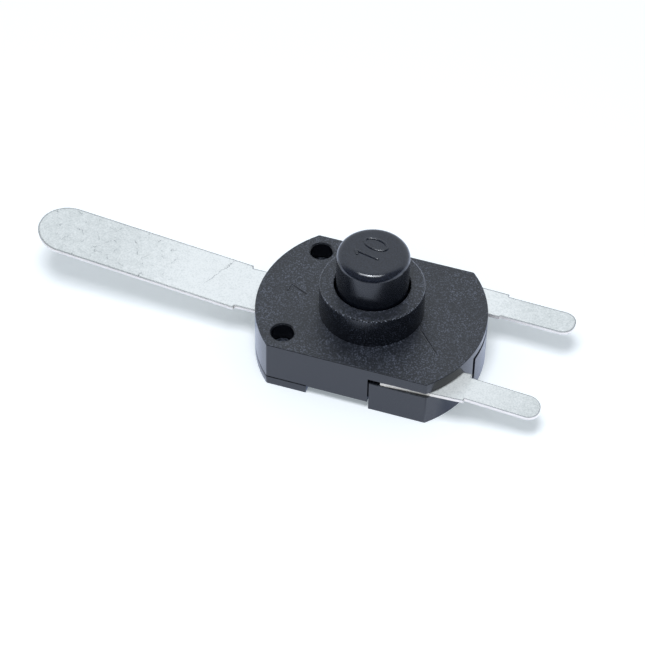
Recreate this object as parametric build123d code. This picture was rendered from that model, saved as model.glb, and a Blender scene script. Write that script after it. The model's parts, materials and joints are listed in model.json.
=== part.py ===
"""Micro push-button switch: a round-ended black housing with a collar, a button and three blade terminals.

Each press of the button turns a six-tooth ratchet by one tooth, and the three-armed contact on the ratchet
then meets or leaves the inner ends of the terminals. Sizes are in millimetres. The frame has +Z up along the
button, +X towards the two short terminals, and its origin on the button's axis at the base's underside.
"""

from build123d import *
import math
import os

# Body outline and moulded shells
body_diameter = 17.0
body_width = 12.0
body_height = 4.0
wall = 1.0
roof = 0.93
corner_radius = 0.2
smallest_corner_radius = 0.05
roof_edge_radius = 0.05
shell_gap = 0.1
notch_gap = 0.1

# Collar, button and its keys
collar_height = 2.55
collar_wall = 1.07
collar_edge_radius = 0.12
bore_edge = 0.05
button_diameter = 5.3
button_clearance = 0.13
button_rise = 3.2
button_wall = 1.05
button_cap = 1.2
button_edge_radius = 0.55
key_count = 3
key_reach = 0.5
key_width = 1.1
key_height = 0.5
key_cover = 0.55
key_gap = 0.08

# Ratchet drive: the ramp height is the button's stroke
stroke = 1.5
tooth_count = 6
tooth_gap = 0.06
tooth_slices = 6
crown_inset = 0.15
crown_wall = 0.85
ratchet_floor = 0.6
ratchet_flange = 0.85
ratchet_turning_gap = 0.05

# Moving contact
contact_thickness = 0.25
contact_ring = 0.45
contact_seat_gap = 0.05
contact_gap = 0.03
arm_count = 3
arm_width = 1.2
arm_clearance = 0.6
arm_swing_gap = 0.3
dimple_radius = 0.42
dimple_height = 0.17
dimple_outset = 0.1
fence_width = 0.3

# Return spring
spring_wire = 0.25
spring_clearance = 0.12
spring_turns = 7
spring_slices = 14
spring_sides = 6
spring_end_gap = 0.02

# Base cover
base_floor = 1.0
skirt_height = 0.7
foot_height = 0.69
foot_end = -3.0
block_start = 1.75
block_width = 2.95
centre_tab_half_width = 1.5
centre_tab_depth = 1.6
centre_tab_height = 3.02
centre_tab_side_gap = 0.35
centre_tab_top_gap = 0.36
left_plug_half_width = 2.01
pivot_diameter = 1.5
pivot_gap = 0.05
pivot_boss_radius = 1.8
pivot_boss_height = 0.1

# Peg holes through the roof, and the base's pegs in them
peg_hole_diameter = 1.65
peg_hole_margin = 0.755
peg_hole_rim = 0.1
peg_boss_wall = 0.6
peg_gap = 0.05
peg_recess = 1.4

# Terminals, stamped from one strip
terminal_thickness = 0.28
terminal_gap = 0.13
bend_radius = 0.8
short_width = 2.1
short_edge_inset = 0.21
short_start = 2.5
short_tip_radius = 0.95
short_step = 0.22
front_shoulder_width = 2.68
front_shoulder_out = 0.12
front_tip_out = 5.46
front_toe_in_angle = 2.9
front_droop_angle = 7.5
rear_shoulder_width = 2.46
rear_shoulder_out = 0.38
rear_tip_out = 5.8
rear_toe_in_angle = 1.9
tongue_overlap = 1.0
tongue_inner = 0.6
tongue_joint = 0.3
long_width = 4.62
long_neck_width = 4.12
long_neck_out = 1.4
long_tip_out = 17.5
long_tongue_width = 2.4
long_bend_out = 1.3
long_rise_angle = 5.9
stud_radius = 0.5
stud_gap = 0.05
stud_inward_short = 3.5
stud_inward_long = 2.2

# Levels and radii that follow from the sizes above
collar_top = body_height + collar_height
button_top = collar_top + button_rise
roof_underside = body_height - roof
slot_height = terminal_thickness + terminal_gap
block_top = roof_underside - slot_height
terminal_top = block_top + terminal_thickness

button_radius = button_diameter / 2
bore_radius = button_radius + button_clearance
collar_radius = bore_radius + collar_wall
button_inner = button_radius - button_wall
key_radius = button_radius + key_reach
key_top = collar_top - key_cover - key_gap

contact_top = block_top - contact_gap - dimple_height
contact_bottom = contact_top - contact_thickness
arm_tip = body_width / 2 - wall - arm_clearance
contact_radius = arm_tip - arm_width / 2 + dimple_outset
swing_radius = arm_tip + arm_swing_gap

crown_outer = button_radius - crown_inset
crown_inner = crown_outer - crown_wall
contact_ring_inner = crown_outer + contact_seat_gap
contact_ring_outer = contact_ring_inner + contact_ring
flange_radius = contact_ring_outer + fence_width
tooth_valley = contact_top + contact_gap
tooth_peak = tooth_valley + stroke
button_tooth_tip = tooth_peak + tooth_gap
button_wall_end = button_tooth_tip + stroke
tooth_pitch = 360 / tooth_count

spring_outer = min(button_inner, crown_inner) - spring_clearance
spring_mean = spring_outer - spring_wire / 2
pivot_radius = pivot_diameter / 2
ratchet_bore = pivot_radius + pivot_gap
ratchet_bottom = base_floor + pivot_boss_height + ratchet_turning_gap
spring_seat = ratchet_bottom + ratchet_floor
hub_radius = spring_mean - spring_wire / 2 - spring_clearance
spring_ceiling = button_top - button_cap

peg_radius = peg_hole_diameter / 2 - peg_gap
half_width = body_width / 2
body_radius = body_diameter / 2
peg_hole_y = half_width - peg_hole_margin - peg_hole_diameter / 2
peg_hole_x = -math.sqrt((body_radius - peg_hole_margin - peg_hole_diameter / 2) ** 2 - peg_hole_y**2)
block_inner = half_width - block_width
tab_inner = body_radius - centre_tab_depth
short_edge = half_width - short_edge_inset
short_offset = short_edge - short_step - short_width / 2
long_neck_x = -body_radius - long_neck_out
long_tip_x = -body_radius - long_tip_out
long_bend_x = -body_radius - long_bend_out
stud_x_short = body_radius - stud_inward_short
stud_x_long = stud_inward_long - body_radius
notch_corner = block_start - notch_gap
contact_angle = 60
contact_x = contact_radius * math.cos(math.radians(contact_angle))
contact_y = contact_radius * math.sin(math.radians(contact_angle))
reach = 2 * body_diameter
peg_boss_radius = peg_hole_diameter / 2 + peg_boss_wall
stud_top = block_top + terminal_thickness - stud_gap
stud_places = [(stud_x_long, 0), (stud_x_short, -short_offset), (stud_x_short, short_offset)]


def between(x_low, x_high, y_low, y_high, z_low, z_high):
    """A box given by its limits along the three axes."""
    centre = Pos((x_low + x_high) / 2, (y_low + y_high) / 2, (z_low + z_high) / 2)
    return centre * Box(x_high - x_low, y_high - y_low, z_high - z_low)


def slab(sketch, z_low, z_high):
    """A flat sketch extruded between two heights."""
    return extrude(Pos(0, 0, z_low) * sketch, amount=z_high - z_low)


def disc(radius, z_low, z_high):
    """A round disc or pin on the button's axis."""
    return slab(Circle(radius), z_low, z_high)


def body_outline(inset=0.0):
    """The body seen from above: a circle cut by two parallel flats."""
    outline = Circle(body_diameter / 2 - inset) & Rectangle(body_diameter, body_width - 2 * inset)
    return fillet(outline.vertices(), max(corner_radius - inset, smallest_corner_radius))


def rim(part, radius, height):
    """The circular edges of one radius at one height."""
    circles = part.edges().filter_by(GeomType.CIRCLE)
    near = smallest_corner_radius / 10
    return [e for e in circles if abs(e.radius - radius) < near and abs(e.arc_center.Z - height) < near]


def peg_places():
    """The two peg axes, front and rear."""
    return [Pos(peg_hole_x, side * peg_hole_y) for side in (-1, 1)]


def radial_face(angle, inner, outer, z_a, z_b):
    """A rectangle standing in the half plane at one angle about the axis."""
    turn = math.radians(angle)
    outward = (math.cos(turn), math.sin(turn), 0)
    plane = Plane((0, 0, 0), x_dir=outward, z_dir=(math.sin(turn), -math.cos(turn), 0))
    return plane * Pos((inner + outer) / 2, (z_a + z_b) / 2) * Rectangle(outer - inner, abs(z_b - z_a))


def saw_teeth(inner, outer, back, start):
    """A ring of saw teeth: each ramp climbs by the stroke over one pitch, filled to the level called back."""
    ramp = []
    for i in range(tooth_slices + 1):
        share = i / tooth_slices
        ramp.append(radial_face(tooth_pitch * share, inner, outer, back, start + stroke * share))
    tooth = loft(ramp, ruled=True)
    return Part() + [tooth.rotate(Axis.Z, tooth_pitch * i) for i in range(tooth_count)]


def turned(part, count):
    """Copies of a part spaced evenly about the axis."""
    return Part() + [part.rotate(Axis.Z, 360 / count * i) for i in range(count)]


def make_housing():
    """Upper shell: roof, walls and collar in one moulding, open below, notched for the base's blocks."""
    shell = slab(body_outline(), skirt_height, body_height)
    shell = fillet(shell.faces().sort_by(Axis.Z)[-1].edges(), roof_edge_radius)
    shell -= slab(body_outline(wall), skirt_height, roof_underside)
    for place in peg_places():
        boss = place * disc(peg_boss_radius, skirt_height, roof_underside)
        shell += boss & slab(body_outline(wall / 2), skirt_height, roof_underside)

    collar = disc(collar_radius, roof_underside, collar_top)
    collar = fillet(rim(collar, collar_radius, collar_top), collar_edge_radius)
    shell += collar
    shell -= disc(bore_radius, roof_underside, collar_top)
    shell = chamfer(rim(shell, bore_radius, collar_top), bore_edge)

    groove = between(0, key_radius + key_gap, -key_width / 2 - key_gap, key_width / 2 + key_gap,
                     roof_underside, key_top + key_gap)
    shell -= turned(groove, key_count)

    for place in peg_places():
        shell -= place * disc(peg_hole_diameter / 2, skirt_height, body_height)
    shell = chamfer(rim(shell, peg_hole_diameter / 2, body_height), peg_hole_rim)

    shell -= between(-reach, foot_end + notch_gap, -reach, reach, 0, foot_height + shell_gap)
    plug_side = left_plug_half_width + notch_gap
    shell -= between(-reach, -swing_radius, -plug_side, plug_side, 0, roof_underside)
    for side in (-1, 1):
        inner = side * (block_inner - notch_gap)
        low, high = sorted((inner, side * reach))
        shell -= between(notch_corner, reach, low, high, 0, roof_underside)
    tab_side = centre_tab_half_width + centre_tab_side_gap
    shell -= between(swing_radius, reach, -tab_side, tab_side, 0, roof_underside)
    tab_room = centre_tab_height + centre_tab_top_gap
    return shell - between(tab_inner - shell_gap, reach, -tab_side, tab_side, 0, tab_room)


def make_base():
    """Lower cover: floor plate, left foot, blocks under the terminals, two pegs and the ratchet's pivot."""
    floor = slab(body_outline(wall + notch_gap), 0, base_floor)
    for place in peg_places():
        floor -= place * disc(peg_boss_radius + notch_gap, foot_height, base_floor)
    outline = slab(body_outline(), 0, body_height)
    base = floor + (outline & between(-reach, foot_end, -reach, reach, 0, foot_height))

    plug = between(-reach, -swing_radius, -left_plug_half_width, left_plug_half_width, 0, block_top)
    tab = between(tab_inner, reach, -centre_tab_half_width, centre_tab_half_width, 0, centre_tab_height)
    blocks = [plug, tab]
    for side in (-1, 1):
        low, high = sorted((side * block_inner, side * reach))
        blocks.append(between(block_start, reach, low, high, 0, block_top))
    base += (outline & (Part() + blocks)) - disc(swing_radius, base_floor, roof_underside)

    for x, y in stud_places:
        base += Pos(x, y) * disc(stud_radius, block_top / 2, stud_top)
    peg_top = body_height - peg_recess
    for place in peg_places():
        base += place * disc(peg_radius, foot_height / 2, peg_top)
    base += disc(pivot_boss_radius, base_floor / 2, base_floor + pivot_boss_height)
    pin = disc(pivot_radius, base_floor / 2, tooth_valley)
    return base + chamfer(rim(pin, pivot_radius, tooth_valley), pivot_radius / 4)


def make_button():
    """Plunger: a round-edged cap, hollow for the spring, with saw teeth below and keys in the bore."""
    body = disc(button_radius, button_wall_end, button_top)
    body = fillet(rim(body, button_radius, button_top), button_edge_radius)
    body -= disc(button_inner, button_wall_end, spring_ceiling)
    skin = button_clearance / 4
    tooth_root = button_wall_end + key_height / 2
    body += saw_teeth(button_inner + skin, button_radius - skin, tooth_root, button_tooth_tip)
    key = between(crown_outer + crown_inset / 2, key_radius, -key_width / 2, key_width / 2,
                  key_top - key_height, key_top)
    return body + turned(key, key_count)


def make_ratchet():
    """Six-tooth ratchet wheel that turns on the base's pivot and carries the moving contact."""
    wheel = disc(flange_radius, ratchet_bottom, contact_bottom)
    wheel -= disc(crown_inner - spring_wire / 4, spring_seat, contact_bottom)
    wheel += disc(hub_radius, ratchet_bottom, tooth_valley - pivot_gap)
    wheel += saw_teeth(crown_inner, crown_outer, spring_seat - ratchet_floor / 2, tooth_valley)
    fence = disc(flange_radius, contact_bottom, contact_top)
    fence -= disc(contact_ring_outer + contact_seat_gap, contact_bottom, contact_top)
    arm_slot = arm_width / 2 + contact_seat_gap
    fence -= turned(between(0, reach, -arm_slot, arm_slot, contact_bottom, contact_top), arm_count)
    wheel += fence
    return wheel - disc(ratchet_bore, ratchet_bottom, tooth_peak)


def make_contact():
    """Moving contact: a stamped ring with three spring arms, each with a dimple that wipes the terminals."""
    arm = Pos(arm_tip / 2 - arm_width / 4) * Rectangle(arm_tip - arm_width / 2, arm_width)
    arm += Pos(arm_tip - arm_width / 2) * Circle(arm_width / 2)
    star = Circle(contact_ring_outer)
    for i in range(arm_count):
        star += Rot(0, 0, 360 / arm_count * i) * arm
    star -= Circle(contact_ring_inner)
    sphere_radius = (dimple_radius**2 + dimple_height**2) / (2 * dimple_height)
    ball = Pos(contact_radius, 0, contact_top + dimple_height - sphere_radius) * Sphere(sphere_radius)
    cutter = disc(arm_width / 2, contact_top - contact_thickness / 2, block_top)
    dimple = ball & (Pos(contact_radius) * cutter)
    return slab(star, contact_bottom, contact_top) + turned(dimple, arm_count)


def make_spring():
    """Return spring: a round-wire coil standing in the ratchet and reaching up into the button."""
    low = spring_seat + spring_end_gap + spring_wire / 2
    high = spring_ceiling - spring_end_gap - spring_wire / 2
    around = 2 * math.pi * spring_turns
    rings = []
    for i in range(spring_turns * spring_slices + 1):
        share = i / (spring_turns * spring_slices)
        cos, sin = math.cos(around * share), math.sin(around * share)
        centre = (spring_mean * cos, spring_mean * sin, low + (high - low) * share)
        tangent = (-spring_mean * sin * around, spring_mean * cos * around, high - low)
        ring = Plane(centre, x_dir=(cos, sin, 0), z_dir=tangent)
        rings.append(ring * RegularPolygon(spring_wire / 2, spring_sides))
    return loft(rings, ruled=True)


def strip(points):
    """A strip of sheet metal: its underside follows points (x, z) with rounded bends, and it is wide."""
    line = FilletPolyline(*points, radius=bend_radius) if len(points) > 2 else Line(*points)
    profile = trace(line, terminal_thickness)
    section = Plane.XZ * Pos(0, terminal_thickness / 2) * profile
    return extrude(section, amount=reach, both=True)


def blank(outline):
    """A stamped outline carried far above and below the strip."""
    return extrude(outline, amount=reach, both=True)


def rectangle(x_a, x_b, y_a, y_b):
    """A flat rectangle given by its limits."""
    return Pos((x_a + x_b) / 2, (y_a + y_b) / 2) * Rectangle(abs(x_b - x_a), abs(y_b - y_a))


def make_short_terminal(side, shoulder_width, shoulder_out, tip_out, toe_in, droop):
    """One of the two short blades: tongue under the roof, shoulder along the flat, narrow rounded end."""
    shoulder_x = body_radius + shoulder_out
    tip_x = body_radius + tip_out
    shoulder = rectangle(short_start, shoulder_x, short_edge - shoulder_width, short_edge)
    blade = rectangle(short_start, tip_x, short_offset - short_width / 2, short_offset + short_width / 2)
    blade = fillet(blade.vertices().group_by(Axis.X)[-1], short_tip_radius)
    stud_axis = Axis((stud_x_short, short_offset, 0), (0, 0, 1))
    outer = (shoulder + blade).rotate(stud_axis, -toe_in)
    tongue_low = contact_y - tongue_inner
    tongue_high = half_width - wall - notch_gap
    tongue = rectangle(contact_x - tongue_overlap, short_start + tongue_joint, tongue_low, tongue_high)
    outline = outer + tongue - Pos(stud_x_short, short_offset) * Circle(stud_radius + stud_gap)
    if side < 0:
        outline = mirror(outline, Plane.XZ)
    end = tip_x + short_width
    points = [(contact_x - 2 * tongue_overlap, block_top), (end, block_top)]
    if droop:
        drooped = block_top - (end - shoulder_x) * math.tan(math.radians(droop))
        points = [points[0], (shoulder_x, block_top), (end, drooped)]
    return blank(outline) & strip(points)


def make_long_terminal():
    """The long blade: a tongue inside, a neck through the wall and a wide round-ended blade that rises."""
    tongue_end = -contact_radius + tongue_inner
    tongue = rectangle(-swing_radius, tongue_end, -long_tongue_width / 2, long_tongue_width / 2)
    neck = rectangle(long_neck_x, -swing_radius, -long_neck_width / 2, long_neck_width / 2)
    end_centre = long_tip_x + long_width / 2
    blade = rectangle(end_centre, long_neck_x, -long_width / 2, long_width / 2)
    outline = tongue + neck + blade + Pos(end_centre) * Circle(long_width / 2)
    outline -= Pos(stud_x_long, 0) * Circle(stud_radius + stud_gap)
    run = long_bend_x - long_tip_x + long_width
    rise = run * math.tan(math.radians(long_rise_angle))
    points = [(long_bend_x - run, block_top + rise), (long_bend_x, block_top), (0, block_top)]
    return blank(outline) & strip(points)


parts = {
    "housing": make_housing(),
    "base_cover": make_base(),
    "button": make_button(),
    "ratchet": make_ratchet(),
    "moving_contact": make_contact(),
    "return_spring": make_spring(),
    "front_terminal": make_short_terminal(-1, front_shoulder_width, front_shoulder_out, front_tip_out,
                                          front_toe_in_angle, front_droop_angle),
    "rear_terminal": make_short_terminal(1, rear_shoulder_width, rear_shoulder_out, rear_tip_out,
                                         rear_toe_in_angle, 0),
    "long_terminal": make_long_terminal(),
}

os.makedirs("parts", exist_ok=True)
for name, part in parts.items():
    export_step(part, f"parts/{name}.step")
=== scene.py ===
import json
import math

import bmesh
import bpy
import numpy as np
from mathutils import Matrix, Vector


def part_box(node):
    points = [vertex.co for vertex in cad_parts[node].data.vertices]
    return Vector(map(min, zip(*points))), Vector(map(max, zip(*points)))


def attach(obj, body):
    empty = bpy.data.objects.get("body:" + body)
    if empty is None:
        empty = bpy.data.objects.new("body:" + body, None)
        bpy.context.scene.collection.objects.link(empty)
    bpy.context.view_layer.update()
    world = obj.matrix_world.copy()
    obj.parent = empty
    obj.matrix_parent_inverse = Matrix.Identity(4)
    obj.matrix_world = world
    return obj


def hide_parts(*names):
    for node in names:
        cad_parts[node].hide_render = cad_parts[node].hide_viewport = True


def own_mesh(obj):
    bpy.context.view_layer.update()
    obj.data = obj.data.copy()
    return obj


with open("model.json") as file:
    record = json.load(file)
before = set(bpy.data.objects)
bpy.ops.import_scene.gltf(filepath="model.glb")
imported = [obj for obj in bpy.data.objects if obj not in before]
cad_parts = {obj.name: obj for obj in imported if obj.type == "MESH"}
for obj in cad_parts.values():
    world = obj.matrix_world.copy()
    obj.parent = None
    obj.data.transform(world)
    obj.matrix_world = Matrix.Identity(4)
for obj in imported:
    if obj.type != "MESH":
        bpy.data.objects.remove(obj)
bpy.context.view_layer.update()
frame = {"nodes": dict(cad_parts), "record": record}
nodes = frame["nodes"]
mounts = {mount["name"]: mount for mount in frame["record"]["mounts"]}
mm = 0.001
print("frame loaded,", len(nodes), "solids")


# Colours and shader nodes

def toLinear(hexColour):  # sRGB hex value to linear red, green, blue and full alpha
    channels = [int(hexColour[i:i + 2], 16) / 255 for i in (1, 3, 5)]
    return [c / 12.92 if c <= 0.04045 else ((c + 0.055) / 1.055) ** 2.4 for c in channels] + [1.0]


def addNode(tree, kind, inputs=None, **settings):  # one node with its settings, fixed inputs and links
    node = tree.nodes.new("ShaderNode" + kind)
    for name, value in settings.items():
        setattr(node, name, value)
    for socket, value in (inputs or {}).items():
        if isinstance(value, bpy.types.NodeSocket):
            tree.links.new(value, node.inputs[socket])
        else:
            node.inputs[socket].default_value = value
    return node


def newMaterial(name):
    material = bpy.data.materials.new(name)
    material.use_nodes = True
    tree = material.node_tree
    tree.nodes.clear()
    shader = addNode(tree, "BsdfPrincipled")
    addNode(tree, "OutputMaterial", {"Surface": shader.outputs["BSDF"]})
    return material, tree, shader


# In the finishes below sizes are in mm, and a turn is a span of how far the surface faces up, from 0 to 1.

def mouldedBlack():
    # Black ABS, injection moulded. The roof and collar come from a spark-eroded cavity and look dull, with a
    # grain that comes and goes in patches. The walls come from a ground one, so they are smoother and blacker
    # and mirror the floor a little. The grain is drawn coarser than a real one, so that it shows.
    finish = dict(wall="#0b0e15", fleck="#383d48", rubbedHighlight="#8a909c", pits="#191c22", peaks="#5c616e",
                  ior=1.58, topRoughness=0.36, wallRoughness=0.24, topTurn=(0.55, 0.95),
                  grainSize=0.11, grainShown=(0.5, 0.75), grainDepth=0.03, wallDepth=0.12,
                  patchSize=1.6, patchShown=(0.35, 0.65), patchShare=(0.5, 1.4),
                  collarMargin=(0.25, 0.15), rubHighlightFoot=(0.15, 0.4), rubHighlightHead=(0.97, 0.85),
                  scratchAcross=(0.729, 0.684, 0), scratchAlong=(0.684, -0.729, 0), scratchOffset=2.286,
                  scratchRun=(3.6, 6.5), scratchFade=(0.2, 0.6), scratchWidth=0.06, scratchDepth=1.0)
    material, tree, shader = newMaterial("abs_moulded_black")
    place = addNode(tree, "TexCoord")
    facing = addNode(tree, "SeparateXYZ", {0: place.outputs["Normal"]})
    topness = addNode(tree, "MapRange", {"Value": facing.outputs["Z"], "From Min": finish["topTurn"][0],
                                         "From Max": finish["topTurn"][1]})
    grain = addNode(tree, "TexNoise", {"Vector": place.outputs["Object"], "Detail": 2.0, "Roughness": 0.6,
                                       "Scale": 1 / (finish["grainSize"] * mm)})
    spread = addNode(tree, "MapRange", {"Value": grain.outputs["Fac"], "From Min": finish["grainShown"][0],
                                        "From Max": finish["grainShown"][1]})
    wear = addNode(tree, "TexNoise", {"Vector": place.outputs["Object"], "Detail": 3.0, "Roughness": 0.6,
                                      "Scale": 1 / (finish["patchSize"] * mm)})
    patches = addNode(tree, "MapRange", {"Value": wear.outputs["Fac"], "From Min": finish["patchShown"][0],
                                         "From Max": finish["patchShown"][1],
                                         "To Min": finish["patchShare"][0],
                                         "To Max": finish["patchShare"][1]})
    shown = addNode(tree, "Math", {0: spread.outputs["Result"], 1: patches.outputs["Result"]},
                    operation="MULTIPLY")
    grainy = addNode(tree, "Mix", {"Factor": shown.outputs[0], "A": toLinear(finish["pits"]),
                                   "B": toLinear(finish["peaks"])}, data_type="RGBA")
    # the collar's side keeps some of the grain, and its top edge is painted pale: partly rubbed wear, partly
    # a painted highlight on its rounding
    collarRadius = mounts["collar"]["dims"]["r_mm"]
    flat = addNode(tree, "VectorMath", {0: place.outputs["Object"], 1: (1.0, 1.0, 0.0)}, operation="MULTIPLY")
    reach = addNode(tree, "VectorMath", {0: flat.outputs["Vector"]}, operation="LENGTH")
    collar = addNode(tree, "MapRange", {"Value": reach.outputs["Value"],
                                        "From Min": (collarRadius + finish["collarMargin"][0]) * mm,
                                        "From Max": (collarRadius + finish["collarMargin"][1]) * mm})
    flecked = addNode(tree, "Math", {0: shown.outputs[0], 1: collar.outputs["Result"]}, operation="MULTIPLY")
    side = addNode(tree, "Mix", {"Factor": flecked.outputs[0], "A": toLinear(finish["wall"]),
                                 "B": toLinear(finish["fleck"])}, data_type="RGBA")
    above = addNode(tree, "MapRange", {"Value": facing.outputs["Z"], "From Min": finish["rubHighlightFoot"][0],
                                       "From Max": finish["rubHighlightFoot"][1]})
    below = addNode(tree, "MapRange", {"Value": facing.outputs["Z"], "From Min": finish["rubHighlightHead"][0],
                                       "From Max": finish["rubHighlightHead"][1]})
    turn = addNode(tree, "Math", {0: above.outputs["Result"], 1: below.outputs["Result"]},
                   operation="MULTIPLY")
    edge = addNode(tree, "Math", {0: turn.outputs[0], 1: collar.outputs["Result"]}, operation="MULTIPLY")
    wearAndHighlight = addNode(tree, "Math", {0: edge.outputs[0], 1: spread.outputs["Result"]}, operation="MULTIPLY")
    # one straight scratch runs out from the collar across the roof
    across = addNode(tree, "VectorMath", {0: place.outputs["Object"], 1: finish["scratchAcross"]},
                     operation="DOT_PRODUCT")
    along = addNode(tree, "VectorMath", {0: place.outputs["Object"], 1: finish["scratchAlong"]},
                    operation="DOT_PRODUCT")
    offset = addNode(tree, "Math", {0: across.outputs["Value"], 1: finish["scratchOffset"] * mm},
                     operation="SUBTRACT")
    near = addNode(tree, "Math", {0: offset.outputs[0]}, operation="ABSOLUTE")
    cut = addNode(tree, "MapRange", {"Value": near.outputs[0], "From Min": finish["scratchWidth"] * mm,
                                     "From Max": 0.0})
    begun = addNode(tree, "MapRange", {"Value": along.outputs["Value"],
                                       "From Min": (finish["scratchRun"][0] - finish["scratchFade"][0]) * mm,
                                       "From Max": finish["scratchRun"][0] * mm})
    ended = addNode(tree, "MapRange", {"Value": along.outputs["Value"],
                                       "From Min": finish["scratchRun"][1] * mm,
                                       "From Max": (finish["scratchRun"][1] - finish["scratchFade"][1]) * mm})
    length = addNode(tree, "Math", {0: begun.outputs["Result"], 1: ended.outputs["Result"]},
                     operation="MULTIPLY")
    groove = addNode(tree, "Math", {0: cut.outputs["Result"], 1: length.outputs[0]}, operation="MULTIPLY")
    roof = addNode(tree, "Mix", {"Factor": groove.outputs[0], "A": grainy.outputs["Result"],
                                 "B": toLinear(finish["wall"])}, data_type="RGBA")
    plain = addNode(tree, "Mix", {"Factor": topness.outputs["Result"], "A": side.outputs["Result"],
                                  "B": roof.outputs["Result"]}, data_type="RGBA")
    # the pale band along the collar's top edge is a painted highlight, partly rubbed wear
    colour = addNode(tree, "Mix", {"Factor": wearAndHighlight.outputs[0], "A": plain.outputs["Result"],
                                   "B": toLinear(finish["rubbedHighlight"])}, data_type="RGBA")
    roughness = addNode(tree, "MapRange", {"Value": topness.outputs["Result"],
                                           "To Min": finish["wallRoughness"],
                                           "To Max": finish["topRoughness"]})
    depth = addNode(tree, "MapRange", {"Value": topness.outputs["Result"], "To Min": finish["wallDepth"]})
    relief = addNode(tree, "Math", {0: groove.outputs[0], 1: -finish["scratchDepth"],
                                    2: grain.outputs["Fac"]}, operation="MULTIPLY_ADD")
    bump = addNode(tree, "Bump", {"Height": relief.outputs[0], "Strength": depth.outputs["Result"],
                                  "Distance": finish["grainDepth"] * mm})
    shader.inputs["IOR"].default_value = finish["ior"]
    tree.links.new(colour.outputs["Result"], shader.inputs["Base Color"])
    tree.links.new(roughness.outputs["Result"], shader.inputs["Roughness"])
    tree.links.new(bump.outputs["Normal"], shader.inputs["Normal"])
    return material


def polishedBlack():
    # Black nylon, moulded. The cap's face and rim come from a polished cavity and shine, the side is drawn
    # out along the cavity wall and is duller, and the face keeps a faint grain.
    finish = dict(pits="#0e121b", peaks="#232834", wall="#0d1119", ior=1.58, rimRoughness=0.17,
                  wallRoughness=0.24, capTurn=(0.05, 0.3), grainSize=0.1, grainShown=(0.3, 0.7),
                  grainDepth=0.004, grainShare=0.5)
    material, tree, shader = newMaterial("nylon_polished_black")
    place = addNode(tree, "TexCoord")
    facing = addNode(tree, "SeparateXYZ", {0: place.outputs["Normal"]})
    capness = addNode(tree, "MapRange", {"Value": facing.outputs["Z"], "From Min": finish["capTurn"][0],
                                         "From Max": finish["capTurn"][1]})
    grain = addNode(tree, "TexNoise", {"Vector": place.outputs["Object"], "Detail": 2.0,
                                       "Scale": 1 / (finish["grainSize"] * mm)})
    spread = addNode(tree, "MapRange", {"Value": grain.outputs["Fac"], "From Min": finish["grainShown"][0],
                                        "From Max": finish["grainShown"][1]})
    grainy = addNode(tree, "Mix", {"Factor": spread.outputs["Result"], "A": toLinear(finish["pits"]),
                                   "B": toLinear(finish["peaks"])}, data_type="RGBA")
    colour = addNode(tree, "Mix", {"Factor": capness.outputs["Result"], "A": toLinear(finish["wall"]),
                                   "B": grainy.outputs["Result"]}, data_type="RGBA")
    roughness = addNode(tree, "MapRange", {"Value": capness.outputs["Result"],
                                           "To Min": finish["wallRoughness"],
                                           "To Max": finish["rimRoughness"]})
    bump = addNode(tree, "Bump", {"Height": grain.outputs["Fac"], "Strength": finish["grainShare"],
                                  "Distance": finish["grainDepth"] * mm})
    shader.inputs["IOR"].default_value = finish["ior"]
    tree.links.new(colour.outputs["Result"], shader.inputs["Base Color"])
    tree.links.new(roughness.outputs["Result"], shader.inputs["Roughness"])
    tree.links.new(bump.outputs["Normal"], shader.inputs["Normal"])
    return material


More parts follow.
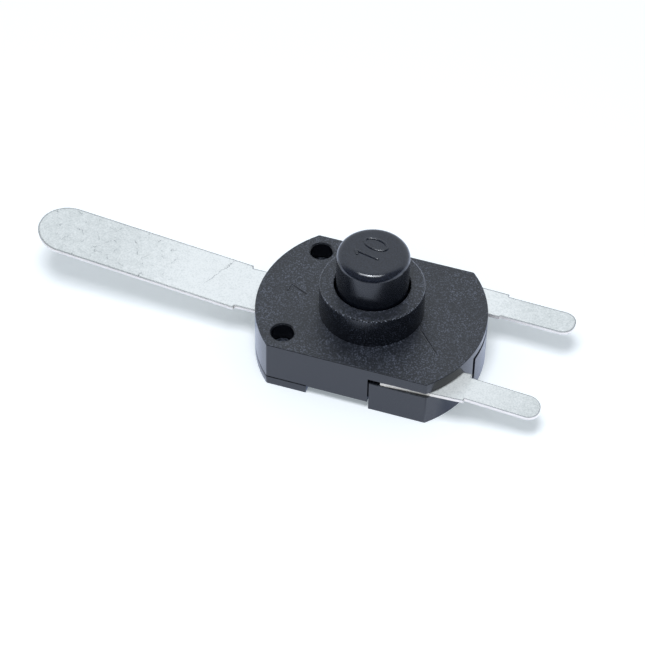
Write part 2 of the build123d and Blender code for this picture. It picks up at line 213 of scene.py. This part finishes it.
def tinPlate(name, edge, roughness, wearAndHighlight, frost=None):  # edge: how far the rounding reaches
    # Steel strip with matt tin plate, stamped: pale and satin with a fine grain and a few hairline cracks.
    # The punch leaves a rounded edge round each face, painted darker there as a painted shade, and a bright
    # sheared wall below it.
    finish = dict(bright="#fdfefb", dull="#cfd3d0", hairlineAndCreaseShade="#7d8284", edgeShade="#6c7072", sheared="#fffaf3",
                  grainSize=0.13, grainDepth=0.004, grainShare=0.6, smearSize=0.6, smearShare=0.35,
                  highlightShare=-0.25, toneShown=(0.38, 0.97), handled=(14.5, 17.5), crackSize=1.3,
                  crackWidth=0.024, crackBend=0.9, crackShown=(0.5, 0.62), creaseX=-12.0, creaseSlope=0.42,
                  creaseWidth=0.04, creaseShare=0.8, creaseRun=(-0.9, 0.3), roundTurn=(0.99, 0.93),
                  roundSamples=6, wallTurn=(0.5, 0.35), wallShare=0.2, wallRoughness=0.7, frosted=(8.6, 10.4))
    material, tree, shader = newMaterial(name)
    place = addNode(tree, "TexCoord")
    grain = addNode(tree, "TexNoise", {"Vector": place.outputs["Object"], "Detail": 3.0, "Roughness": 0.65,
                                       "Scale": 1 / (finish["grainSize"] * mm)})
    smear = addNode(tree, "TexNoise", {"Vector": place.outputs["Object"], "Detail": 4.0, "Roughness": 0.6,
                                       "Scale": 1 / (finish["smearSize"] * mm)})
    # painted highlight: the plate is painted brighter near the body, easing to its plain tone across the
    # given reach
    away = addNode(tree, "VectorMath", {0: place.outputs["Object"]}, operation="LENGTH")
    highlightNearBody = addNode(tree, "MapRange", {"Value": away.outputs["Value"], "From Min": wearAndHighlight[0] * mm,
                                        "From Max": wearAndHighlight[1] * mm, "To Min": finish["highlightShare"],
                                        "To Max": 0.0})
    blur = addNode(tree, "Math", {0: smear.outputs["Fac"], 1: finish["smearShare"],
                                  2: highlightNearBody.outputs["Result"]}, operation="MULTIPLY_ADD")
    tone = addNode(tree, "Math", {0: grain.outputs["Fac"], 1: blur.outputs[0]}, operation="ADD")
    wear = addNode(tree, "MapRange", {"Value": tone.outputs[0], "From Min": finish["toneShown"][0],
                                      "From Max": finish["toneShown"][1]})
    plate = addNode(tree, "Mix", {"Factor": wear.outputs["Result"], "A": toLinear(finish["bright"]),
                                  "B": toLinear(finish["dull"])}, data_type="RGBA")
    # hairlines follow a cracked pattern, bent by the smear, and show far out and where the smear is strong
    bend = finish["crackBend"] * mm
    bent = addNode(tree, "VectorMath", {0: smear.outputs["Color"], 1: (bend, bend, 0.0),
                                        2: place.outputs["Object"]}, operation="MULTIPLY_ADD")
    crack = addNode(tree, "TexVoronoi", {"Vector": bent.outputs["Vector"],
                                         "Scale": 1 / (finish["crackSize"] * mm)},
                    feature="DISTANCE_TO_EDGE", voronoi_dimensions="2D")
    thin = addNode(tree, "MapRange", {"Value": crack.outputs["Distance"], "From Min": finish["crackWidth"],
                                      "From Max": 0.0})
    shown = addNode(tree, "MapRange", {"Value": smear.outputs["Fac"], "From Min": finish["crackShown"][0],
                                       "From Max": finish["crackShown"][1]})
    bare = addNode(tree, "Math", {0: thin.outputs["Result"], 1: shown.outputs["Result"]},
                   operation="MULTIPLY")
    handled = addNode(tree, "MapRange", {"Value": away.outputs["Value"],
                                         "From Min": finish["handled"][0] * mm,
                                         "From Max": finish["handled"][1] * mm})
    hair = addNode(tree, "Math", {0: bare.outputs[0], 1: handled.outputs["Result"]}, operation="MULTIPLY")
    # one crease slants from the long blade's rear edge to its middle; the sheet has no fold there, and the
    # crease is only a painted shade line
    spot = addNode(tree, "SeparateXYZ", {0: bent.outputs["Vector"]})
    slant = addNode(tree, "Math", {0: spot.outputs["Y"], 1: -finish["creaseSlope"], 2: spot.outputs["X"]},
                    operation="MULTIPLY_ADD")
    offset = addNode(tree, "Math", {0: slant.outputs[0], 1: finish["creaseX"] * mm}, operation="SUBTRACT")
    near = addNode(tree, "Math", {0: offset.outputs[0]}, operation="ABSOLUTE")
    fold = addNode(tree, "MapRange", {"Value": near.outputs[0], "From Min": finish["creaseWidth"] * mm,
                                      "From Max": 0.0, "To Max": finish["creaseShare"]})
    rear = addNode(tree, "MapRange", {"Value": spot.outputs["Y"], "From Min": finish["creaseRun"][0] * mm,
                                      "From Max": finish["creaseRun"][1] * mm})
    crease = addNode(tree, "Math", {0: fold.outputs["Result"], 1: rear.outputs["Result"]},
                     operation="MULTIPLY")
    marks = addNode(tree, "Math", {0: hair.outputs[0], 1: crease.outputs[0]}, operation="MAXIMUM")
    # the hairlines are real marks, and the crease line in the same colour is a painted shade
    face = addNode(tree, "Mix", {"Factor": marks.outputs[0], "A": plate.outputs["Result"],
                                 "B": toLinear(finish["hairlineAndCreaseShade"])}, data_type="RGBA")
    # within the rounding of an edge the softened normal leaves the true one, and there the plate is painted
    # darker as a painted shade, less so on the sheared walls
    true = addNode(tree, "NewGeometry")
    soft = addNode(tree, "Bevel", {"Radius": edge * mm}, samples=finish["roundSamples"])
    along = addNode(tree, "VectorMath", {0: true.outputs["True Normal"], 1: soft.outputs["Normal"]},
                    operation="DOT_PRODUCT")
    rounded = addNode(tree, "MapRange", {"Value": along.outputs["Value"], "From Min": finish["roundTurn"][0],
                                         "From Max": finish["roundTurn"][1]})
    level = addNode(tree, "SeparateXYZ", {0: true.outputs["True Normal"]})
    lean = addNode(tree, "Math", {0: level.outputs["Z"]}, operation="ABSOLUTE")
    upright = addNode(tree, "MapRange", {"Value": lean.outputs[0], "From Min": finish["wallTurn"][0],
                                         "From Max": finish["wallTurn"][1]})
    sides = addNode(tree, "Mix", {"Factor": upright.outputs["Result"], "A": face.outputs["Result"],
                                  "B": toLinear(finish["sheared"])}, data_type="RGBA")
    spared = addNode(tree, "MapRange", {"Value": upright.outputs["Result"], "To Min": 1.0,
                                        "To Max": finish["wallShare"]})
    dark = addNode(tree, "Math", {0: rounded.outputs["Result"], 1: spared.outputs["Result"]},
                   operation="MULTIPLY")
    colour = addNode(tree, "Mix", {"Factor": dark.outputs[0], "A": sides.outputs["Result"],
                                   "B": toLinear(finish["edgeShade"])}, data_type="RGBA")
    coarse = addNode(tree, "MapRange", {"Value": upright.outputs["Result"], "To Min": roughness,
                                        "To Max": finish["wallRoughness"]})
    shader.inputs["Metallic"].default_value = 1.0
    if frost:  # beside the body such a plate is rougher and scatters some of the light
        span = {"Value": away.outputs["Value"], "From Min": finish["frosted"][0] * mm,
                "From Max": finish["frosted"][1] * mm}
        matt = addNode(tree, "MapRange", {**span, "To Min": frost["roughness"], "To Max": roughness})
        metal = addNode(tree, "MapRange", {**span, "To Min": frost["metallic"], "To Max": 1.0})
        tree.links.new(matt.outputs["Result"], coarse.inputs["To Min"])
        tree.links.new(metal.outputs["Result"], shader.inputs["Metallic"])
    bump = addNode(tree, "Bump", {"Height": grain.outputs["Fac"], "Strength": finish["grainShare"],
                                  "Distance": finish["grainDepth"] * mm})
    tree.links.new(coarse.outputs["Result"], shader.inputs["Roughness"])
    tree.links.new(colour.outputs["Result"], shader.inputs["Base Color"])
    tree.links.new(bump.outputs["Normal"], shader.inputs["Normal"])
    return material


def plainFinish(name, hexColour, roughness, metallic):  # for a piece seen only when the switch is opened
    material, tree, shader = newMaterial(name)
    shader.inputs["Base Color"].default_value = toLinear(hexColour)
    shader.inputs["Roughness"].default_value = roughness
    shader.inputs["Metallic"].default_value = metallic
    return material


black = mouldedBlack()
gloss = polishedBlack()
longTin = tinPlate("tin_plated_steel_worn", edge=0.25, roughness=0.4, wearAndHighlight=(14.5, 20.0))
rearTin = tinPlate("tin_plated_steel_stamped", edge=0.22, roughness=0.4, wearAndHighlight=(9.5, 12.5))
frontTin = tinPlate("tin_plated_steel_sheared", edge=0.14, roughness=0.48, wearAndHighlight=(10.5, 14.5),
                    frost=dict(roughness=0.9, metallic=0.3))
nylon = plainFinish("nylon_natural_moulded", "#e4e2d6", roughness=0.45, metallic=0.0)  # milky and satin
brass = plainFinish("brass_stamped", "#c9a55a", roughness=0.3, metallic=1.0)  # yellow and bright
wire = plainFinish("spring_steel_drawn", "#b4b4b2", roughness=0.3, metallic=1.0)  # grey and bright
print("finishes ready")


# Pieces

def newObject(name, mesh, material, body):
    piece = bpy.data.objects.new(name, mesh)
    bpy.context.scene.collection.objects.link(piece)
    mesh.materials.clear()
    mesh.materials.append(material)
    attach(piece, body)
    return piece


def softEdged(node, name, material, body):  # a solid's own surface with its sharp edges eased
    eased = dict(radius=0.05 * mm, segments=2, sharpFrom=48, flatUpTo=0.3, merge=1e-7)  # angles in degrees
    mesh = bpy.data.meshes.new(name)
    work = bmesh.new()
    work.from_mesh(nodes[node].data)
    bmesh.ops.remove_doubles(work, verts=work.verts, dist=eased["merge"])
    bmesh.ops.dissolve_limit(work, angle_limit=math.radians(eased["flatUpTo"]), verts=work.verts,
                             edges=work.edges)
    for face in work.faces:
        face.smooth = True
    work.to_mesh(mesh)
    work.free()
    if "custom_normal" in mesh.attributes:
        mesh.attributes.remove(mesh.attributes["custom_normal"])
    piece = newObject(name, mesh, material, body)
    ease = piece.modifiers.new("ease", "BEVEL")
    ease.width = eased["radius"]
    ease.segments = eased["segments"]
    ease.limit_method = "ANGLE"
    ease.angle_limit = math.radians(eased["sharpFrom"])
    level = piece.modifiers.new("level", "WEIGHTED_NORMAL")
    level.keep_sharp = True
    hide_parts(node)
    return piece


baseShell = softEdged("base_cover", "base_shell", black, "case")
blades = [softEdged(side + "_terminal", side + "_blade", material, "case")
          for side, material in (("front", frontTin), ("rear", rearTin), ("long", longTin))]
for node, material in (("housing", black), ("button", gloss), ("ratchet", nylon), ("moving_contact", brass)):
    nodes[node].data.materials.clear()
    nodes[node].data.materials.append(material)
print("shells and blades dressed")


def ringFaces(count, sides, closed):  # four-cornered faces between rings of points that follow each other
    row, col = np.meshgrid(np.arange(count if closed else count - 1), np.arange(sides), indexing="ij")
    below, beside = (row + 1) % count, (col + 1) % sides
    corners = ((row, col), (row, beside), (below, beside), (below, col))
    return np.stack([ring * sides + step for ring, step in corners], -1).reshape(-1, 4)


def tube(path, halfWidth, halfHeight, sides, closed, tip=1e-4):
    # An ellipse carried along a flat path: each point is the path plus its side normal times halfWidth
    # cos(a), and raised by halfHeight sin(a). An open path shrinks to a tip at each end.
    count = len(path)
    ahead = np.roll(path, -1, 0) - np.roll(path, 1, 0)
    if not closed:
        ahead[0], ahead[-1] = path[1] - path[0], path[-1] - path[-2]
    ahead /= np.linalg.norm(ahead, axis=1)[:, None]
    aside = np.stack([-ahead[:, 1], ahead[:, 0], np.zeros(count)], 1)
    swell = np.ones(count)
    if not closed:
        run = np.r_[0, np.cumsum(np.linalg.norm(np.diff(path, axis=0), axis=1))]
        near = np.clip(np.minimum(run, run[-1] - run) / halfWidth, 0, 1)
        swell = np.sqrt(np.clip(1 - (1 - near) ** 2, tip, 1))
    angle = np.linspace(0, 2 * np.pi, sides, endpoint=False)
    ring = aside[:, None, :] * (halfWidth * np.cos(angle))[None, :, None]
    ring = ring + np.array([0, 0, 1.0]) * (halfHeight * np.sin(angle))[None, :, None]
    points = path[:, None, :] + ring * swell[:, None, None]
    return points.reshape(-1, 3), ringFaces(count, sides, closed)


def tubesMesh(name, tubes):  # several tubes as one smooth mesh that faces outwards
    points, faces, start = [], [], 0
    for tubePoints, tubeQuads in tubes:
        points.append(tubePoints)
        faces.append(tubeQuads + start)
        start += len(tubePoints)
    mesh = bpy.data.meshes.new(name)
    mesh.from_pydata(np.concatenate(points), [], np.concatenate(faces))
    mesh.shade_smooth()
    work = bmesh.new()
    work.from_mesh(mesh)
    bmesh.ops.recalc_face_normals(work, faces=work.faces)
    work.to_mesh(mesh)
    work.free()
    return mesh


def line(*corners, steps=14):  # straight runs between corners, as evenly spaced points
    corners = np.array(corners, float)
    runs = [np.linspace(a, b, steps, endpoint=False) for a, b in zip(corners[:-1], corners[1:])]
    return np.concatenate(runs + [corners[-1:]])


def oval(centre, halfWidth, halfHeight, steps=48):  # evenly turned points of an ellipse
    angle = np.linspace(0, 2 * np.pi, steps, endpoint=False)
    return np.array(centre) + np.stack([halfWidth * np.cos(angle), halfHeight * np.sin(angle)], 1)


def raised(name, strokes, centre, up, z, stroke, height, material, body, slot, sides=12):
    # Moulded figures: strokes drawn in (right, up) millimetres are laid on a level face, half sunk in it.
    up = np.array(up) / np.linalg.norm(up)
    right = np.array([up[1], -up[0]])
    tubes = []
    for flat, closed in strokes:
        spot = np.array(centre) + flat[:, :1] * right + flat[:, 1:] * up
        path = np.column_stack([spot, np.full(len(spot), z)]) * mm
        tubes.append(tube(path, stroke / 2 * mm, height * mm, sides, closed))
    return newObject(name, tubesMesh(name, tubes), material, body)


buttonFigure = dict(centre=(-0.2, 0.15), up=(-2.01, 0.43), stroke=0.22, height=0.085)
one = (line((-0.95, 0.6), (-0.6, 1.0), (-0.6, -1.0)), False)
nought = (oval((0.65, 0), 0.5, 0.9), True)
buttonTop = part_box("button")[1].z / mm
buttonMark = raised("button_figure", [one, nought], z=buttonTop, material=gloss, body="plunger",
                    slot="button_plastic", **buttonFigure)
roofFigure = dict(centre=(-5.6, 0.0), up=(-1, 0.1), stroke=0.14, height=0.04)
seven = (line((-0.4, 0.75), (0.4, 0.75), (-0.1, -0.75)), False)
roofTop = mounts["top_face"]["pos_m"][2] / mm
roofMark = raised("roof_figure", [seven], z=roofTop, material=black, body="case", slot="black_plastic",
                  **roofFigure)
print("moulded figures raised")


def returnSpring():
    # Round wire on a helix: the wire's centre climbs evenly while it turns, and the end turns lie flat.
    # The mean radius of the coil and the radius of the wire are in mm.
    coil = dict(mean=1.355, wire=0.125, turns=7, closedTurns=0.8, steps=336, sides=12, tip=0.02)
    low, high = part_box("return_spring")
    steps, sides, wireRadius = coil["steps"], coil["sides"], coil["wire"] * mm
    angle = np.linspace(0, 2 * np.pi * coil["turns"], steps)
    turn = angle / (2 * np.pi)
    climb = np.clip((turn - coil["closedTurns"] / 2) / (coil["turns"] - coil["closedTurns"]), 0, 1)
    bottom, top = low.z + wireRadius, high.z - wireRadius
    outward = np.stack([np.cos(angle), np.sin(angle), np.zeros_like(angle)], 1)
    centre = outward * coil["mean"] * mm
    centre[:, 2] = bottom + (top - bottom) * climb
    along = np.gradient(centre, axis=0)
    along /= np.linalg.norm(along, axis=1)[:, None]
    across = np.cross(along, outward)
    around = np.linspace(0, 2 * np.pi, sides, endpoint=False)
    ring = (outward[:, None, :] * np.cos(around)[None, :, None]
            + across[:, None, :] * np.sin(around)[None, :, None])
    swell = np.ones(steps)
    swell[[0, -1]] = coil["tip"]
    points = centre[:, None, :] + ring * wireRadius * swell[:, None, None]
    mesh = tubesMesh("spring_coil", [(points.reshape(-1, 3), ringFaces(steps, sides, False))])
    spring = newObject("spring_coil", mesh, wire, "case")
    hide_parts("return_spring")
    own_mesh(spring)


returnSpring()
print("spring coiled")


# Floor, light and camera

def brightForEye(tree):  # 1 for what is seen, straight or mirrored, and 0 for what lights the object
    path = addNode(tree, "LightPath")
    seen = addNode(tree, "Math", {0: path.outputs["Is Camera Ray"], 1: path.outputs["Is Glossy Ray"]},
                   operation="MAXIMUM")
    clear = addNode(tree, "Math", {0: seen.outputs[0], 1: path.outputs["Is Transmission Ray"]},
                    operation="MAXIMUM")
    direct = addNode(tree, "Math", {0: path.outputs["Diffuse Depth"], 1: 0.5},  # no matt bounce yet
                     operation="LESS_THAN")
    return addNode(tree, "Math", {0: clear.outputs[0], 1: direct.outputs[0]}, operation="MULTIPLY").outputs[0]


def whiteFloor():
    # Matt white card: its own shade is kept for the shadow, and a lift takes the open floor to white, more
    # so far out. In mirrors the card is dimmer, and ends in front of the object, where a dark table begins.
    card = dict(size=4.0, colour="#f4f4f4", seen=(0.22, 0.25, 0.27, 1), distant=(0.62, 0.62, 0.62, 1),
                fades=(0.05, 0.4), mirrored=(0.32, 0.4, 0.62, 1), ends=(-0.0115, -0.018),
                table=(0.02, 0.02, 0.02, 1), unlit=(0, 0, 0, 1))
    material, tree, shader = newMaterial("card_white_matt")
    shader.inputs["Roughness"].default_value = 1.0
    shader.inputs["Specular IOR Level"].default_value = 0.0
    path = addNode(tree, "LightPath")
    place = addNode(tree, "TexCoord")
    spot = addNode(tree, "SeparateXYZ", {0: place.outputs["Object"]})
    beyond = addNode(tree, "MapRange", {"Value": spot.outputs["Y"], "From Min": card["ends"][0],
                                        "From Max": card["ends"][1]})
    table = addNode(tree, "Math", {0: beyond.outputs["Result"], 1: path.outputs["Is Glossy Ray"]},
                    operation="MULTIPLY")
    colour = addNode(tree, "Mix", {"Factor": table.outputs[0], "A": toLinear(card["colour"]),
                                   "B": card["table"]}, data_type="RGBA")
    mirrored = addNode(tree, "Mix", {"Factor": beyond.outputs["Result"], "A": card["mirrored"],
                                     "B": card["unlit"]}, data_type="RGBA")
    away = addNode(tree, "VectorMath", {0: place.outputs["Object"]}, operation="LENGTH")
    distant = addNode(tree, "MapRange", {"Value": away.outputs["Value"], "From Min": card["fades"][0],
                                         "From Max": card["fades"][1]})
    seen = addNode(tree, "Mix", {"Factor": distant.outputs["Result"], "A": card["seen"],
                                 "B": card["distant"]}, data_type="RGBA")
    lift = addNode(tree, "Mix", {"Factor": path.outputs["Is Camera Ray"], "A": mirrored.outputs["Result"],
                                 "B": seen.outputs["Result"]}, data_type="RGBA")
    tree.links.new(colour.outputs["Result"], shader.inputs["Base Color"])
    tree.links.new(lift.outputs["Result"], shader.inputs["Emission Color"])
    tree.links.new(brightForEye(tree), shader.inputs["Emission Strength"])
    half = card["size"] / 2
    mesh = bpy.data.meshes.new("floor")
    mesh.from_pydata([(-half, -half, 0), (half, -half, 0), (half, half, 0), (-half, half, 0)], [],
                     [(0, 1, 2, 3)])
    floor = bpy.data.objects.new("floor", mesh)
    mesh.materials.append(material)
    bpy.context.scene.collection.objects.link(floor)


def whiteRoom():
    # Plain white where it is looked at. In mirrors it is a pale cool backdrop with a dim room in front of
    # it, and a flag, up on the right, takes the glare off what one piece mirrors in another.
    room = dict(light=0.45, white=1.0, walls="#f0f7ff", open=(1, 1, 1, 1), backdrop=(-0.304, 0.953, 0),
                turns=(-0.15, 0.35), dim=0.15, flag=(0.749, 0.159, 0.643), flagSpan=(0.7, 0.88), flagDim=0.12)
    world = bpy.data.worlds.new("room")
    world.use_nodes = True
    tree = world.node_tree
    tree.nodes.clear()
    path = addNode(tree, "LightPath")
    place = addNode(tree, "TexCoord")
    strength = addNode(tree, "MapRange", {"Value": brightForEye(tree), "To Min": room["light"],
                                          "To Max": room["white"]})
    behind = addNode(tree, "VectorMath", {0: place.outputs["Generated"], 1: room["backdrop"]},
                     operation="DOT_PRODUCT")
    dim = addNode(tree, "MapRange", {"Value": behind.outputs["Value"], "From Min": room["turns"][0],
                                     "From Max": room["turns"][1], "To Min": room["dim"]},
                  interpolation_type="SMOOTHSTEP")
    beside = addNode(tree, "VectorMath", {0: place.outputs["Generated"], 1: room["flag"]},
                     operation="DOT_PRODUCT")
    flag = addNode(tree, "MapRange", {"Value": beside.outputs["Value"], "From Min": room["flagSpan"][0],
                                      "From Max": room["flagSpan"][1], "To Min": 1.0,
                                      "To Max": room["flagDim"]})
    twice = addNode(tree, "Math", {0: path.outputs["Glossy Depth"], 1: 1.5},  # mirrored more than once
                    operation="GREATER_THAN")
    screen = addNode(tree, "Mix", {"Factor": twice.outputs[0], "A": 1.0, "B": flag.outputs["Result"]})
    both = addNode(tree, "Math", {0: dim.outputs["Result"], 1: screen.outputs["Result"]}, operation="MINIMUM")
    shade = addNode(tree, "Mix", {"Factor": path.outputs["Is Glossy Ray"], "A": 1.0, "B": both.outputs[0]})
    total = addNode(tree, "Math", {0: strength.outputs["Result"], 1: shade.outputs["Result"]},
                    operation="MULTIPLY")
    walls = addNode(tree, "Mix", {"Factor": path.outputs["Is Camera Ray"], "A": toLinear(room["walls"]),
                                  "B": room["open"]}, data_type="RGBA")
    background = addNode(tree, "Background", {"Color": walls.outputs["Result"], "Strength": total.outputs[0]})
    addNode(tree, "OutputWorld", {"Surface": background.outputs[0]})
    bpy.context.scene.world = world


def softbox(name, place, size, power, nearer=0.0, mirrors=()):
    # A lamp that faces the object. It either lights the whole object, or shows only as a reflection in
    # some of its pieces.
    daylight = "#f4f9ff"
    lamp = bpy.data.lights.new(name, "AREA")
    lamp.color = toLinear(daylight)[:3]
    lamp.shape = "RECTANGLE"
    lamp.size, lamp.size_y = size
    lamp.energy = power
    holder = bpy.data.objects.new(name, lamp)
    holder.location = place * (1 - nearer)
    holder.rotation_mode = "QUATERNION"
    holder.rotation_quaternion = (-place).to_track_quat("-Z", "Y")
    holder.visible_camera = False
    holder.visible_diffuse, holder.visible_glossy = not mirrors, bool(mirrors)
    if mirrors:
        shiny = bpy.data.collections.new(name + "_mirrors")
        for piece in mirrors:
            shiny.objects.link(piece)
        holder.light_linking.receiver_collection = shiny
    bpy.context.scene.collection.objects.link(holder)


def photoCamera():  # stands where the photo was taken from, with angles in degrees and lengths in mm
    stand = dict(turn=17.722, tilt=46.034, roll=1.064, distance=201.483, right=-3.522, up=1.730, lens=152.2,
                 sensor=36.0, nearest=5.0)
    turn, tilt, roll = (math.radians(stand[k]) for k in ("turn", "tilt", "roll"))
    back = Vector((math.sin(turn) * math.cos(tilt), -math.cos(turn) * math.cos(tilt), math.sin(tilt)))
    level = Vector((math.cos(turn), math.sin(turn), 0))
    rise = back.cross(level)
    right = level * math.cos(roll) + rise * math.sin(roll)
    up = rise * math.cos(roll) - level * math.sin(roll)
    camera = bpy.data.objects.new("camera", bpy.data.cameras.new("camera"))
    camera.data.lens = stand["lens"]
    camera.data.sensor_width = stand["sensor"]
    camera.data.clip_start = stand["nearest"] * mm
    axes = Matrix((right, up, back)).transposed()
    camera.rotation_mode = "QUATERNION"
    camera.rotation_quaternion = axes.to_quaternion()
    camera.location = (back * stand["distance"] + right * stand["right"] + up * stand["up"]) * mm
    bpy.context.scene.collection.objects.link(camera)
    bpy.context.scene.camera = camera


whiteFloor()
whiteRoom()
overhead, front = Vector((0.002, -0.078, 0.29)), Vector((0.09, -0.28, 0.12))
cap = [nodes["button"], buttonMark]
shells = [nodes["housing"], baseShell, roofMark]
softbox("overhead_softbox", overhead, size=(0.11, 0.11), power=0.55)
# the reflected lamps hang below it, one nearer than the other, so that none hides the next
softbox("overhead_glow", overhead, size=(0.2, 0.11), power=0.6, nearer=0.02, mirrors=cap)
softbox("overhead_bulb", overhead, size=(0.035, 0.035), power=0.17, nearer=0.04, mirrors=cap)
softbox("overhead_sheen", overhead, size=(0.11, 0.11), power=0.076, nearer=0.06, mirrors=blades + shells)
softbox("front_panel", front, size=(3.0, 0.5), power=2.6, mirrors=blades)
photoCamera()
bpy.context.scene.view_settings.view_transform = "Standard"
print("floor, light and camera set")
